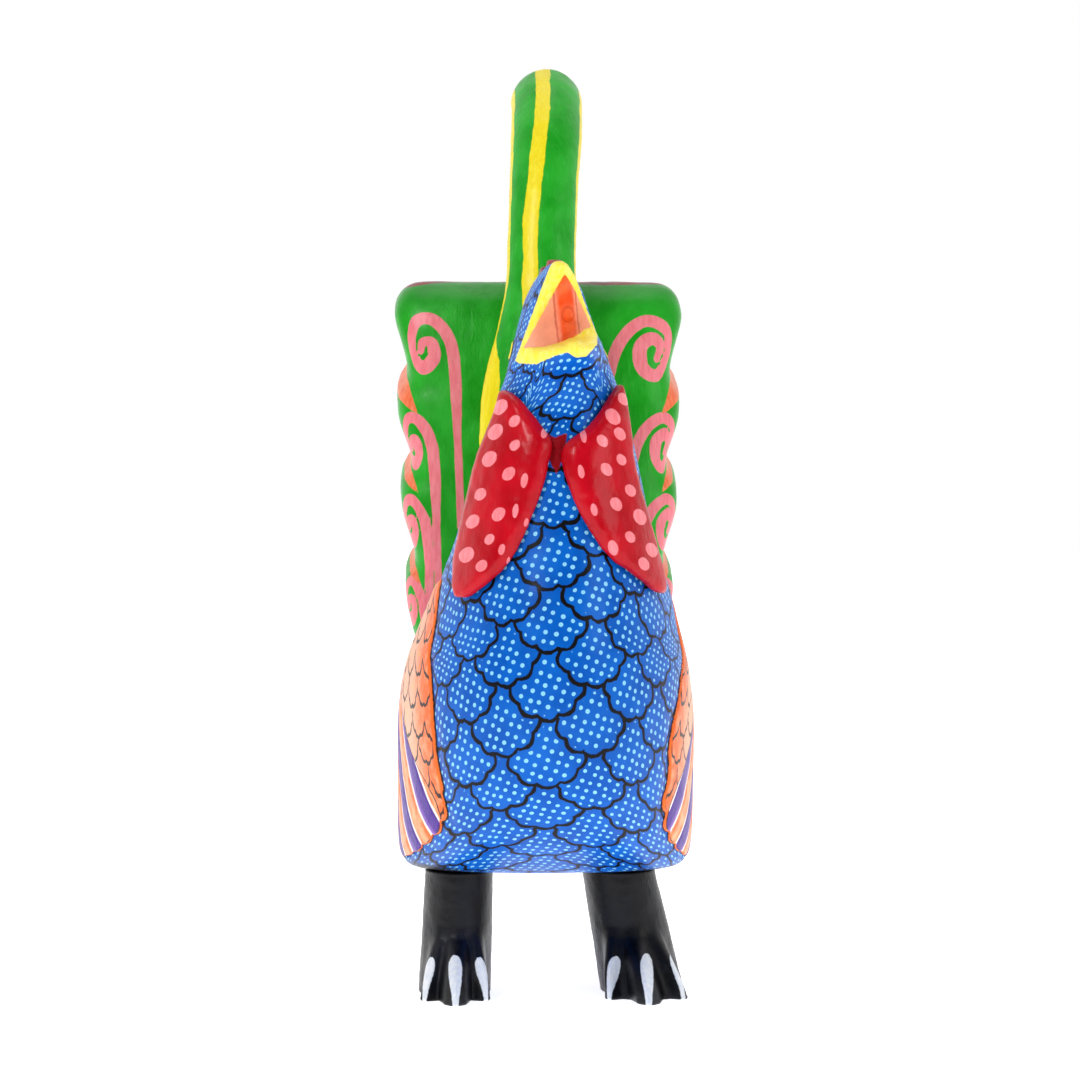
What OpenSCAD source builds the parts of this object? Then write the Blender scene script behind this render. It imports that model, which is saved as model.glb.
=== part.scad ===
// Crowing rooster figure, carved in wood as separate pieces and doweled together.
// Z is up, the beak faces -Y, and the origin is the centre of the footprint on the ground.

/* [Body] */
// Width of the body across the carved wings
body_w = 82.4; // [76:0.1:90]
// Height of the flat belly face above the ground, which is the length of the legs
belly_z = 34; // [30:1:42]
// Turn of the head to its left, in degrees
head_turn = 15; // [0:1:20]
// Sideways lean of the head, as rise per millimetre of width
head_lean = 0.2; // [0:0.05:0.25]
// Depth of the scooped palate in the open beak
palate_depth = 3.2; // [1:0.2:4]
// Height of the tongue ridge above the palate
tongue_rise = 2.6; // [1:0.2:4]

/* [Comb] */
// Thickness of the comb
comb_t = 4.6; // [3:0.2:6]
// Turn of the comb to the figure's left, in degrees
comb_turn = 9; // [5:1:15]

/* [Wattles] */
// Thickness of a wattle at its middle
wattle_t = 4.2; // [3:0.2:6]
// Gap of glue between a wattle and the throat
glue_gap = 0.35; // [0.3:0.05:0.6]
// Diameter of the pin that holds a wattle
wattle_pin_d = 2.5; // [2:0.5:4]

/* [Legs] */
// Half depth of a leg shaft, front to back
shank_depth = 13.5; // [11:0.5:16]
// Reach of the middle toe from the leg axis
toe_reach = 32; // [28:1:36]
// Place of the leg axis, front to back, on the body's datum
leg_y = -6; // [-9:1:-3]
// Diameter of the dowels in the legs
leg_dowel_d = 8; // [6:1:10]

/* [Tail fan] */
// Width of the carved tail fan
fan_w = 85.6; // [78:0.2:92]
// Height of the step on the rump above the belly, where the fan is glued
fan_seat_z = 59; // [57:1:61]
// Depth of the notches between the feather lobes
notch_depth = 3.6; // [2:0.2:6]
// Diameter of the two dowels under the fan
fan_dowel_d = 8; // [6:1:10]

/* [Sickle feather] */
// Width of the tall feather near its top
sickle_w = 21; // [18:0.5:24]
// Diameter of the peg that plugs the feather into the back
peg_d = 10; // [8:1:12]
// Length of the peg below the seat of the feather
peg_depth = 20; // [16:1:24]
// Backward tilt of the peg, in degrees
peg_tilt = 8; // [4:1:12]

/* [Fits] */
// Radial clearance of a dowel or peg in its hole
fit_gap = 0.05; // [0.02:0.01:0.1]

/* [Hidden] */

// Shift that brings the whole figure to the centre of its footprint
mid_shift = [0, -9.4, 0];
far = 300;
$fn = 64;

// ---------------------------------------------------------------- smooth tables

function bound(v, lo, hi) = max(lo, min(hi, v));
function ease(t) = let (s = bound(t, 0, 1)) s * s * (3 - 2 * s);
function mix(a, b, t) = a + (b - a) * t;

// Place in a table of rows whose first column rises
function row_at(rows, key, i = 0) =
  (i >= len(rows) - 2 || key < rows[i + 1][0]) ? i : row_at(rows, key, i + 1);
function rise(rows, i, c) = (rows[i + 1][c] - rows[i][c]) / (rows[i + 1][0] - rows[i][0]);
function tangent(rows, i, c) =
  i <= 0 ? rise(rows, 0, c)
  : i >= len(rows) - 1 ? rise(rows, len(rows) - 2, c)
  : let (a = rise(rows, i - 1, c), b = rise(rows, i, c)) a * b <= 0 ? 0 : 2 * a * b / (a + b);
// Value of column c at a key, on a curve that never overshoots its rows
function along(rows, key, c) =
  let (i = row_at(rows, key), h = rows[i + 1][0] - rows[i][0],
    s = bound((key - rows[i][0]) / h, 0, 1), p = s * s, q = p * s)
  (2 * q - 3 * p + 1) * rows[i][c] + (q - 2 * p + s) * h * tangent(rows, i, c)
  + (3 * p - 2 * q) * rows[i + 1][c] + (q - p) * h * tangent(rows, i + 1, c);

// ---------------------------------------------------------------- lofts

// Closed skin over rings of points, with a flat cap on the first and the last ring
module loft(rings) {
  n = len(rings[0]);
  m = len(rings);
  points = [for (ring = rings) each ring];
  sides = [for (j = [0 : m - 2], i = [0 : n - 1])
    let (a = j * n + i, b = j * n + (i + 1) % n)
    each [[a, b, a + n], [b, b + n, a + n]]];
  caps = [[for (i = [n - 1 : -1 : 0]) i], [for (i = [0 : n - 1]) (m - 1) * n + i]];
  polyhedron(points, concat(sides, caps), convexity = 8);
}

function power(v, e) = sign(v) * pow(abs(v), e);

// ---------------------------------------------------------------- body

// Rows: height above the belly, front, back, half width, widest line, side offset,
// squareness of the front, squareness of the back. Widths are shares of half the body width.
body_rows = [
  [0, -20, 52, 0.90, 8, 0, 2.5, 3.2],
  [0.8, -29, 55, 0.935, 8, 0, 2.5, 3.2],
  [2.4, -36, 58, 0.968, 8, 0, 2.4, 3.2],
  [4.8, -42.5, 60, 0.99, 7, 0, 2.4, 3.3],
  [10, -55, 63, 1.0, 6, 0, 2.3, 3.4],
  [17, -66, 65, 1.0, 5, 0, 2.2, 3.4],
  [27, -76, 66, 1.0, 3, 0, 2.1, 3.4],
  [38, -81, 67, 1.0, 1, 0, 2.1, 3.4],
  [48, -82, 67, 0.985, 0, 0, 2.1, 3.2],
  [59, -81.5, 65, 0.935, -4, 0.3, 2.1, 3.0],
  [68, -80, 54, 0.86, -10, 0.6, 2.1, 2.6],
  [78, -77.5, 33, 0.775, -20, 1.0, 2.1, 2.3],
  [88, -74.5, 13, 0.67, -30, 1.3, 2.1, 2.1],
  [101, -71, -7, 0.585, -38, 1.5, 2.1, 2.0],
  [115, -68, -20, 0.50, -43, 1.6, 2.1, 2.0],
  [125, -66.5, -27, 0.42, -46, 1.4, 2.0, 2.0],
  [132, -68, -32, 0.358, -49, 1.0, 2.0, 2.0],
  [136, -74.5, -34, 0.312, -51, 0.8, 1.8, 2.0],
  [138.6, -81, -36, 0.288, -53, 0.6, 1.5, 2.0],
  [140.4, -82, -37, 0.272, -54, 0.5, 1.5, 2.0],
  [141.8, -65, -38, 0.258, -55, 0.4, 3.5, 2.0],
  [147, -65, -40, 0.218, -57, 0.2, 5.0, 2.0],
  [154.5, -69, -44, 0.152, -60, 0, 5.0, 2.0],
  [158.6, -73, -52, 0.096, -65, 0, 4.0, 2.0],
  [161.6, -76.5, -62, 0.042, -69, 0, 2.5, 2.0],
  [162.4, -75, -66, 0.02, -70.5, 0, 2.0, 2.0]];
body_top = 162.4;
turn_from = 110;
turn_to = 136;
body_sides = 46;
head_from = 130;
mouth_from = 142;
mouth_to = 161;
// Share of the beak's width that the palate scoops out, and place and half width of the tongue
palate_share = 0.86;
tongue_x = 0.6;
tongue_half = 2.3;

// Point of the body skin at height z over the belly and at angle a round it
function skin(z, a, grow = 0) =
  let (
    mid = along(body_rows, z, 4),
    w = along(body_rows, z, 3) * body_w / 2,
    front = sin(a) < 0,
    deep = front ? mid - along(body_rows, z, 1) : along(body_rows, z, 2) - mid,
    n = along(body_rows, z, front ? 6 : 7),
    x = w * power(cos(a), 2 / n),
    y = deep * power(sin(a), 2 / n),
    nx = power(x / w, n - 1) / w,
    ny = power(y / deep, n - 1) / deep,
    open = front ? ease((z - mouth_from) / 4) * ease((mouth_to - z) / 6) : 0,
    hollow = open * (palate_depth * max(0, 1 - pow(x / (palate_share * w), 2))
      - tongue_rise * exp(-pow((x - tongue_x) / tongue_half, 2)) * ease((mouth_to - 4 - z) / 6)),
    in_head = ease((z - turn_from) / (turn_to - turn_from)),
    turned = head_turn * in_head,
    gx = x + grow * nx / norm([nx, ny]),
    gy = y + hollow + grow * ny / norm([nx, ny]))
  [along(body_rows, z, 5) + gx * cos(turned) - gy * sin(turned),
    mid + gx * sin(turned) + gy * cos(turned),
    belly_z + z + head_lean * gx * in_head * ease((body_top + 8 - z) / 20)];

// Angle on the front of the skin where it stands x from the centre line
function angle_at(z, x) =
  let (n = along(body_rows, z, 6), w = along(body_rows, z, 3) * body_w / 2,
    r = bound((x - along(body_rows, z, 5)) / w, -0.985, 0.985))
  -acos(power(r, n / 2));

// Heights of the rings: close at the belly edge and in the head, wider between
body_levels = concat(
  [0, 0.3, 0.8, 1.5, 2.4, 3.5, 4.8, 7.2, 10],
  [for (z = [13 : 3.25 : head_from]) z],
  [for (z = [head_from : 1.2 : body_top - 1]) z],
  [body_top]);

module body_blank() {
  loft([for (z = body_levels) [for (i = [0 : body_sides - 1]) skin(z, -i * 360 / body_sides)]]);
}

// Flat step on the rump for the fan, and a sloping flat on the back for the feather
module fan_step() {
  translate([-far / 2, fan_front, belly_z + fan_seat_z]) cube([far, far, far]);
}
module sickle_flat() {
  on_seat(back_slope) translate([-seat_w / 2, -seat_ahead, 0])
    cube([seat_w, seat_ahead + seat_behind, seat_clear]);
}
// Moves a shape to the middle of the feather's seat and leans it backward
module on_seat(lean) {
  translate([0, sickle_seat[0], belly_z + sickle_seat[1]]) rotate([-lean, 0, 0]) children();
}

fan_front = 30;
sickle_seat = [21, 80.6];
back_slope = 26;
seat_w = 36;
seat_ahead = 13.5;
seat_behind = 11;
seat_clear = 30;

module body_carving() {
  color("royalblue")
    difference() {
      body_blank();
      fan_step();
      sickle_flat();
      comb_blade(fit_gap);
      for (side = [-1, 1]) leg_dowel_hole(side);
      for (side = [-1, 1]) fan_dowel_hole(side);
      peg_rod(peg_d / 2 + fit_gap, -peg_depth - 1, seat_clear);
      for (side = [-1, 1]) pin_rod(side, wattle_pin_d / 2 + fit_gap);
    }
}

// ---------------------------------------------------------------- comb

// Outline of the comb in the plane of the head: first the points, then the root in the skull
comb_outline = [[-65, 154.5], [-60, 162.8], [-56, 164.4], [-53, 160.4], [-47, 163.4], [-43.5, 161.4],
  [-44, 156.8], [-37, 158.6], [-34.6, 155.6], [-37.4, 151], [-30.6, 150], [-29.6, 146],
  [-33.4, 142.8], [-28.4, 139.4], [-29.6, 135.4], [-36, 133.4], [-41, 139], [-44.6, 146],
  [-51, 150], [-58, 152]];
comb_pivot = [0.4, -55];

module comb_blade(grow = 0) {
  translate([comb_pivot[0], comb_pivot[1], 0]) rotate([0, 0, comb_turn])
    translate([comb_t / 2 + grow, -comb_pivot[1], belly_z]) rotate([90, 0, -90])
      mirror([1, 0, 0]) linear_extrude(comb_t + 2 * grow) polygon(comb_outline);
}

module comb() {
  color("firebrick") comb_blade();
}

// ---------------------------------------------------------------- wattles

// Rows: place along the wattle, outer edge x and height, inner edge x and height
wattle_rows = [
  [[0.00, -13.2, 133.4, -11.8, 131.2], [0.10, -14.8, 127.8, -9.2, 126.6],
    [0.22, -16.6, 121.4, -5.2, 121.4], [0.37, -19.2, 111.4, -0.7, 114.8],
    [0.48, -20.8, 104.6, -1.6, 108.4], [0.66, -23.2, 94.0, -4.8, 98.2],
    [0.86, -25.0, 82.8, -11.6, 84.0], [0.96, -24.8, 77.6, -18.0, 78.0],
    [1.00, -23.8, 75.8, -21.0, 75.8]],
  [[0.00, 13.4, 129.6, 10.6, 127.0], [0.22, 17.8, 119.0, 6.4, 120.4],
    [0.44, 21.6, 105.8, 0.9, 113.8], [0.66, 25.0, 93.6, 4.4, 100.8],
    [0.86, 27.8, 83.2, 13.0, 86.4], [0.96, 28.2, 78.4, 21.4, 80.2],
    [1.00, 27.6, 76.6, 25.0, 77.2]]];
wattle_steps = 18;
wattle_across = 7;
// Thickness at the ends as a share of the middle, and thickness of the rim
wattle_thin = 0.45;
wattle_rim = 1.1;
pin_at = [[-10, 122], [10.6, 121.2]];
pin_in_wattle = 1.6;
pin_in_throat = 8;

function wattle_point(side, u, v, lift) =
  let (rows = wattle_rows[side], s = (v + 1) / 2,
    x = mix(along(rows, u, 1), along(rows, u, 3), s),
    z = mix(along(rows, u, 2), along(rows, u, 4), s))
  skin(z, angle_at(z, x), lift);

// One ring round the wattle: over its face one way and under it the other way
function wattle_ring(side, u) =
  let (full = pow(sin(180 * bound(0.12 + 0.8 * u, 0, 1)), 0.5),
    swell = wattle_t * mix(wattle_thin, 1, full))
  concat(
    [for (i = [0 : wattle_across]) let (v = -1 + 2 * i / wattle_across)
      wattle_point(side, u, v, glue_gap + mix(wattle_rim, swell, sqrt(max(0, 1 - pow(v, 4)))))],
    [for (i = [wattle_across : -1 : 0]) let (v = -1 + 2 * i / wattle_across)
      wattle_point(side, u, v, glue_gap)]);

module wattle_blank(side) {
  rings = [for (j = [0 : wattle_steps]) wattle_ring(side, j / wattle_steps)];
  if (side == 0) loft(rings);
  else loft([for (j = [wattle_steps : -1 : 0]) rings[j]]);
}

module wattle(side) {
  color("crimson")
    difference() {
      wattle_blank(side);
      pin_rod(2 * side - 1, wattle_pin_d / 2 + fit_gap);
    }
}

// A straight pin, level from front to back, that ends inside the wattle
module pin_rod(side, r) {
  at = pin_at[(side + 1) / 2];
  root = skin(at[1], angle_at(at[1], at[0]), 0);
  translate([root[0], root[1] - pin_in_wattle, root[2]]) rotate([-90, 0, 0])
    cylinder(r = r, h = pin_in_wattle + pin_in_throat);
}

module wattle_pins() {
  color("burlywood") for (side = [-1, 1]) pin_rod(side, wattle_pin_d / 2);
}

// ---------------------------------------------------------------- legs

// For each side: axis and half width at the top, axis and half width at the ground, splay of toes
leg_rows = [[-24.0, 9.4, -25.3, 10.0, 22], [20.0, 10.1, 26.8, 11.6, 27]];
leg_sides = 56;
leg_levels = [-1, 0, 1, 2.5, 4, 6, 8, 10, 12, 14, 16.5, 19.5, 23, 27, 31, 35];
// Toes: turn from straight ahead in splays, share of the middle toe's reach, spread, height
toes = [[0, 1.0, 13, 17], [-1, 0.72, 12, 18], [1, 0.72, 12, 18], [180, 0.82, 17, 15]];

function turn_between(a, b) = (a - b + 540) % 360 - 180;

function leg_point(side, z, a) =
  let (row = leg_rows[side], h = bound(z / belly_z, 0, 1),
    w = mix(row[3], row[1], h),
    shank = 1 / sqrt(pow(cos(a) / w, 2) + pow(sin(a) / shank_depth, 2)),
    reach = max([for (t = toes) let (ahead = abs(t[0]) > 1 ? t[0] : t[0] * row[4])
      (t[1] * toe_reach - shank) * exp(-pow(turn_between(a, ahead - 90) / t[2], 2))
        * pow(max(0, 1 - pow(max(z, 0) / t[3], 1.6)), 1.1)]),
    r = shank + max(0, reach))
  [mix(row[2], row[0], h) + r * cos(a), leg_y + r * sin(a), z];

module leg_blank(side) {
  levels = [for (z = leg_levels) z * belly_z / 35];
  loft([for (z = levels) [for (i = [0 : leg_sides - 1]) leg_point(side, z, -i * 360 / leg_sides)]]);
}

function leg_axis(side) = leg_rows[(side + 1) / 2][0];

module leg_dowel_rod(side, r, low, high) {
  translate([leg_axis(side), leg_y, belly_z + low]) cylinder(r = r, h = high - low);
}
module leg_dowel_hole(side) {
  leg_dowel_rod(side, leg_dowel_d / 2 + fit_gap, -dowel_half, dowel_half);
}

dowel_half = 14;

module leg(side) {
  color("#16161a")
    difference() {
      leg_blank((side + 1) / 2);
      translate([-far / 2, -far / 2, -far]) cube([far, far, far]);
      leg_dowel_hole(side);
    }
}

module leg_dowel(side) {
  color("burlywood") leg_dowel_rod(side, leg_dowel_d / 2, -dowel_half, dowel_half);
}

// ---------------------------------------------------------------- tail fan

// Rows: height above the step, front, back, and half width before the notches as a share
fan_rows = [
  [0, 33.0, 60, 0.89], [8, 33.5, 63, 0.91], [20, 35.0, 66, 0.93], [39, 36.5, 68.5, 0.948],
  [64, 38.5, 71, 0.97], [84, 40.5, 73, 0.992], [94, 42.5, 74, 1.0], [102, 45.5, 73.5, 0.98],
  [106.2, 49.5, 72, 0.93], [108.2, 54, 69, 0.85]];
fan_top = 108.2;
// Heights of the notches at the front face, and how steeply they climb toward the back
notches = [-4, 22, 50, 76, 112];
notch_climb = 0.42;
top_climb = 0.06;
fan_sides = 44;
fan_levels = concat([0, 2, 4.4], [for (z = [6.9 : 2.11 : 103]) z], [104.6, 106.4, 107.6, 108.2]);

// Shares of a lobe over which it swells from its lower notch and falls into the upper one
lobe_swells = 0.6;
lobe_falls = 0.24;
// Squareness of the slices, and how far a full lobe stands out at the back
fan_square = 4.5;
lobe_back = 5;

// Share of the notch depth left on a lobe: none at a notch, all under the next notch
function lobe(z) =
  let (i = row_at([for (n = notches) [n]], z),
    t = bound((z - notches[i]) / (notches[i + 1] - notches[i]), 0, 1))
  ease(t / lobe_swells) * ease((1 - t) / lobe_falls);

// Each ring is a flat slanting slice, so that the lobes run backward and up
function fan_point(z, a) =
  let (
    front = along(fan_rows, z, 1),
    back = along(fan_rows, z, 2),
    mid = (front + back) / 2,
    deep = (back - front) / 2,
    full = lobe(z),
    w = along(fan_rows, z, 3) * fan_w / 2 - notch_depth * (1 - full) * ease((fan_top - z) / 6),
    y = mid + deep * power(sin(a), 2 / fan_square) + lobe_back * full * max(0, sin(a)),
    climb = notch_climb * ease(z / 14) * ease((fan_top - z) / 24)
      + top_climb * ease((z - 87) / 20))
  [w * power(cos(a), 2 / fan_square), y, z + climb * (y - front)];

module fan_blank() {
  loft([for (z = fan_levels) [for (i = [0 : fan_sides - 1])
    fan_point(z, -i * 360 / fan_sides)]]);
}

fan_dowel_x = 22;
fan_dowel_y = 47;
module fan_dowel_rod(side, r, low, high) {
  translate([side * fan_dowel_x, fan_dowel_y, belly_z + fan_seat_z + low])
    cylinder(r = r, h = high - low);
}
module fan_dowel_hole(side) {
  fan_dowel_rod(side, fan_dowel_d / 2 + fit_gap, -fan_dowel_half, fan_dowel_half);
}
fan_dowel_half = 18;

module tail_fan() {
  color("forestgreen")
    difference() {
      translate([0, 0, belly_z + fan_seat_z]) fan_blank();
      for (side = [-1, 1]) fan_dowel_hole(side);
    }
}

module tail_dowels() {
  color("burlywood") for (side = [-1, 1])
    fan_dowel_rod(side, fan_dowel_d / 2, -fan_dowel_half, fan_dowel_half);
}

// ---------------------------------------------------------------- sickle feather

// Rows: place along the feather, depth of its middle and height over the belly, half width as a
// share of the feather's width, half thickness, side offset
sickle_rows = [
  [0.00, 19.0, 69, 0.70, 8.6, 0], [0.08, 20.4, 83, 0.74, 8.8, 0],
  [0.16, 21.0, 103, 0.85, 8.8, 0], [0.24, 22.0, 123, 0.87, 8.6, 0],
  [0.30, 23.2, 137, 0.80, 8.4, 0], [0.36, 25.2, 151, 0.62, 8.2, 0],
  [0.44, 29.0, 169, 0.48, 8.2, 0], [0.54, 36.5, 192, 0.485, 8.8, 1.0],
  [0.63, 47.5, 210.4, 0.505, 9.8, 2.2], [0.72, 63, 221.6, 0.505, 10.2, 2.7],
  [0.80, 79, 219.0, 0.47, 9.0, 2.6], [0.88, 90, 207, 0.40, 7.4, 2.0],
  [0.95, 95.5, 190, 0.30, 5.2, 1.2], [1.00, 96.5, 177, 0.12, 2.0, 0.8]];
sickle_steps = 44;
sickle_sides = 20;

function sickle_middle(t) =
  [along(sickle_rows, t, 5), along(sickle_rows, t, 1), belly_z + along(sickle_rows, t, 2)];
function sickle_ring(t) =
  let (e = 0.004, p = sickle_middle(t),
    d = sickle_middle(min(1, t + e)) - sickle_middle(max(0, t - e)),
    n = [0, -d[2], d[1]] / norm([d[1], d[2]]),
    w = along(sickle_rows, t, 3) * sickle_w, h = along(sickle_rows, t, 4))
  [for (i = [0 : sickle_sides - 1]) let (a = i * 360 / sickle_sides)
    p + [w * power(cos(a), 1.04), 0, 0] + n * h * power(sin(a), 1.04)];

module sickle_blank() {
  loft([for (j = [0 : sickle_steps]) sickle_ring(j / sickle_steps)]);
}

// A rod on the axis of the peg, measured up from the seat
module peg_rod(r, low, high) {
  on_seat(peg_tilt) translate([0, 0, low]) cylinder(r = r, h = high - low);
}
peg_in_feather = 18;

module sickle_feather() {
  color("limegreen")
    difference() {
      sickle_blank();
      on_seat(back_slope) translate([-far / 2, -far / 2, -far + fit_gap]) cube([far, far, far]);
      peg_rod(peg_d / 2 + fit_gap, -seat_clear, peg_in_feather);
    }
}

module sickle_peg() {
  color("burlywood") peg_rod(peg_d / 2, -peg_depth, peg_in_feather);
}

// ---------------------------------------------------------------- nodes

translate(mid_shift) body_carving();
translate(mid_shift) comb();
translate(mid_shift) wattle(0);  // wattle_left
translate(mid_shift) wattle(1);  // wattle_right
translate(mid_shift) wattle_pins();
translate(mid_shift) leg(-1);  // leg_left
translate(mid_shift) leg(1);  // leg_right
translate(mid_shift) leg_dowel(-1);  // leg_dowel_left
translate(mid_shift) leg_dowel(1);  // leg_dowel_right
translate(mid_shift) tail_fan();
translate(mid_shift) tail_dowels();
translate(mid_shift) sickle_feather();
translate(mid_shift) sickle_peg();
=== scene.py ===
"""Looks of the carved and painted rooster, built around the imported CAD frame.

Lengths in the working arrays are millimetres. For the body they are measured from the
front of the breast (back), from the belly (up) and from the middle plane (right).
"""

import math

import bpy
import numpy as np
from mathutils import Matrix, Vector
from mathutils.bvhtree import BVHTree


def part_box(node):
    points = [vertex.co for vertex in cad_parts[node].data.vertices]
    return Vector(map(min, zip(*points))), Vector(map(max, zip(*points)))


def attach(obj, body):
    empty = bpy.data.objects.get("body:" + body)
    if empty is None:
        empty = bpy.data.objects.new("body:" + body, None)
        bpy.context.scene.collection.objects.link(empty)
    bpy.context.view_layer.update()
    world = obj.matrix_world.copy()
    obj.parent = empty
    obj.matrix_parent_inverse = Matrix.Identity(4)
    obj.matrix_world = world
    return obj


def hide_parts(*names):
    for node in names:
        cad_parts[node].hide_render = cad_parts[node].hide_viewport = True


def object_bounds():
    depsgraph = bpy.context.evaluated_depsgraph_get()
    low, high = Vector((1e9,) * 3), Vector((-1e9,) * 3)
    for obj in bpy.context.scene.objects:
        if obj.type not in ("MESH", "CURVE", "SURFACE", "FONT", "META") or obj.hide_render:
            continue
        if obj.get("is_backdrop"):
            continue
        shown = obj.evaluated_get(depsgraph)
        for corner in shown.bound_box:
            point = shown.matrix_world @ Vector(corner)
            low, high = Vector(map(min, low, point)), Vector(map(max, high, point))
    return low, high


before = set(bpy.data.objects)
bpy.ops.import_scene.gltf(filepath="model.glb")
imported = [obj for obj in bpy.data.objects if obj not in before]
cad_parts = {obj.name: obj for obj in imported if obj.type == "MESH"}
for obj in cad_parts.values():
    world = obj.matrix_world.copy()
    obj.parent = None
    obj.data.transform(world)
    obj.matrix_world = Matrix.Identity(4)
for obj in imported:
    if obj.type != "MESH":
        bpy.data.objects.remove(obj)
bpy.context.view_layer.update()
MM = 0.001
FAR_OUT = -9.0          # stands for "not near this mark" in the painted distances
HEAD_TURN = 15.0        # degrees the head is turned to one side
NECK_UP = 128           # above this height the paint follows a cone
SHOULDER_UP = 60        # above this height the wing's front border bends back
TONGUE_X = 3.1          # middle of the tongue at the height below
TONGUE_UP = 150


# ---------------------------------------------------------------- numbers

def ease(t):
    t = np.clip(t, 0.0, 1.0)
    return t * t * (3 - 2 * t)


def smooth_path(points, steps=14):
    """A curve through the points, as a dense row of points."""
    p = np.array(points, float)
    p = np.vstack([2 * p[0] - p[1], p, 2 * p[-1] - p[-2]])
    out = []
    for i in range(1, len(p) - 2):
        for t in np.linspace(0, 1, steps, endpoint=False):
            a, b, c, d = p[i - 1], p[i], p[i + 1], p[i + 2]
            out.append(0.5 * ((2 * b) + (c - a) * t + (2 * a - 5 * b + 4 * c - d) * t * t
                              + (3 * b - a - 3 * c + d) * t ** 3))
    out.append(p[-2])
    return np.array(out)


def path_distance(q, path):
    """Distance of every point in q to a row of points, and how far along it, from 0 to 1."""
    best, where = np.full(len(q), 1e9), np.zeros(len(q))
    lengths = np.r_[0, np.cumsum(np.linalg.norm(np.diff(path, axis=0), axis=1))]
    for i in range(len(path) - 1):
        a, d = path[i], path[i + 1] - path[i]
        t = np.clip(((q - a) @ d) / max(d @ d, 1e-12), 0, 1)
        r = np.linalg.norm(q - a - t[:, None] * d, axis=1)
        near = r < best
        best[near] = r[near]
        where[near] = ((lengths[i] + t * np.linalg.norm(d)) / lengths[-1])[near]
    return best, where


def inside(q, corners):
    """Signed distance to a closed outline, positive inside."""
    c = np.array(corners, float)
    d, _ = path_distance(q, np.vstack([c, c[:1]]))
    odd = np.zeros(len(q), bool)
    for a, b in zip(c, np.roll(c, -1, axis=0)):
        crosses = (a[1] > q[:, 1]) != (b[1] > q[:, 1])
        x = a[0] + (q[:, 1] - a[1]) * (b[0] - a[0]) / (b[1] - a[1] + 1e-12)
        odd ^= crosses & (q[:, 0] < x)
    return np.where(odd, d, -d)


# ---------------------------------------------------------------- meshes

def read(kind, name, width=3, number=np.float32):
    """One property of all the points, edges or triangles of a mesh, a row for each."""
    out = np.zeros(len(kind) * width, number)
    kind.foreach_get(name, out)
    return out.reshape(-1, width)


def points_of(obj):
    return read(obj.data.vertices, "co").astype(float) / MM


def normals_of(obj):
    return read(obj.data.vertex_normals, "vector").astype(float)


def set_points(obj, p):
    obj.data.vertices.foreach_set("co", (p * MM).astype(np.float32).ravel())
    obj.data.update()


def dense(node, name, voxel):
    """A copy of a CAD node with an even, fine mesh, ready to be smoothed and carved."""
    source = bpy.data.objects.new(name + "_blank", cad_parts[node].data.copy())
    bpy.context.scene.collection.objects.link(source)
    weld = source.modifiers.new("weld", "WELD")
    weld.merge_threshold = 0.01 * MM
    grid = source.modifiers.new("grid", "REMESH")
    grid.mode = "VOXEL"
    grid.voxel_size = voxel * MM
    grid.adaptivity = 0.0
    made = source.evaluated_get(bpy.context.evaluated_depsgraph_get())
    data = bpy.data.meshes.new_from_object(made)
    data.name = name
    bpy.data.objects.remove(source)
    obj = bpy.data.objects.new(name, data)
    bpy.context.scene.collection.objects.link(obj)
    data.materials.clear()
    data.polygons.foreach_set("use_smooth", [True] * len(data.polygons))
    return obj


def relax(obj, share, rounds):
    """Evens the surface out; share says how much, for all points or for each."""
    p = points_of(obj)
    e = read(obj.data.edges, "vertices", 2, np.int32)
    a, b = e[:, 0], e[:, 1]
    n = len(p)
    count = np.maximum(np.bincount(e.ravel(), minlength=n), 1)[:, None]
    share = np.broadcast_to(np.asarray(share, float).reshape(-1, 1), (n, 1))
    for _ in range(rounds):
        total = np.stack([np.bincount(a, p[b, k], n) + np.bincount(b, p[a, k], n)
                          for k in range(3)], axis=1)
        p = p + share * (total / count - p)
    set_points(obj, p)


def tree_of(node):
    """The surface of a CAD node, ready for nearest points and rays."""
    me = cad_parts[node].data
    me.calc_loop_triangles()
    faces = read(me.loop_triangles, "vertices", 3, np.int32)
    co = read(me.vertices, "co").astype(float) / MM
    return BVHTree.FromPolygons([Vector(v) for v in co], [tuple(map(int, f)) for f in faces])


def hold_to(obj, node, share):
    """Pulls points back onto the CAD surface by a share, where a fit or a seat must stay true."""
    p, tree = points_of(obj), tree_of(node)
    for i in np.nonzero(share > 0.02)[0]:
        hit = tree.find_nearest(Vector(p[i]))[0]
        if hit is not None:
            p[i] += share[i] * (np.array(hit) - p[i])
    set_points(obj, p)


def paint_data(obj, **values):
    """Stores a number, or three, for every point, for the materials to read."""
    for name, v in values.items():
        v = np.asarray(v, np.float32)
        kind = "FLOAT_VECTOR" if v.ndim == 2 else "FLOAT"
        layer = obj.data.attributes.new(name, kind, "POINT")
        layer.data.foreach_set("vector" if v.ndim == 2 else "value", v.ravel())


def lump_noise(p, size, seed, octaves=3):
    """Soft seeded lumps, from -1 to 1, as sums of slanted waves."""
    rng = np.random.default_rng(seed)
    total, weight = np.zeros(len(p)), 0.0
    for o in range(octaves):
        for _ in range(7):
            d = rng.normal(size=3)
            d *= 2 * math.pi / (size / 2 ** o) / np.linalg.norm(d)
            total += np.sin(p @ d + rng.uniform(0, 6.283)) / 2 ** o
        weight += 3.2 / 2 ** o
    return total / weight


# ---------------------------------------------------------------- shader building

def colour(text):
    """Linear colour of a web colour."""
    c = [int(text[i:i + 2], 16) / 255 for i in (0, 2, 4)]
    return tuple(v / 12.92 if v <= 0.04045 else ((v + 0.055) / 1.055) ** 2.4 for v in c) + (1.0,)


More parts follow.
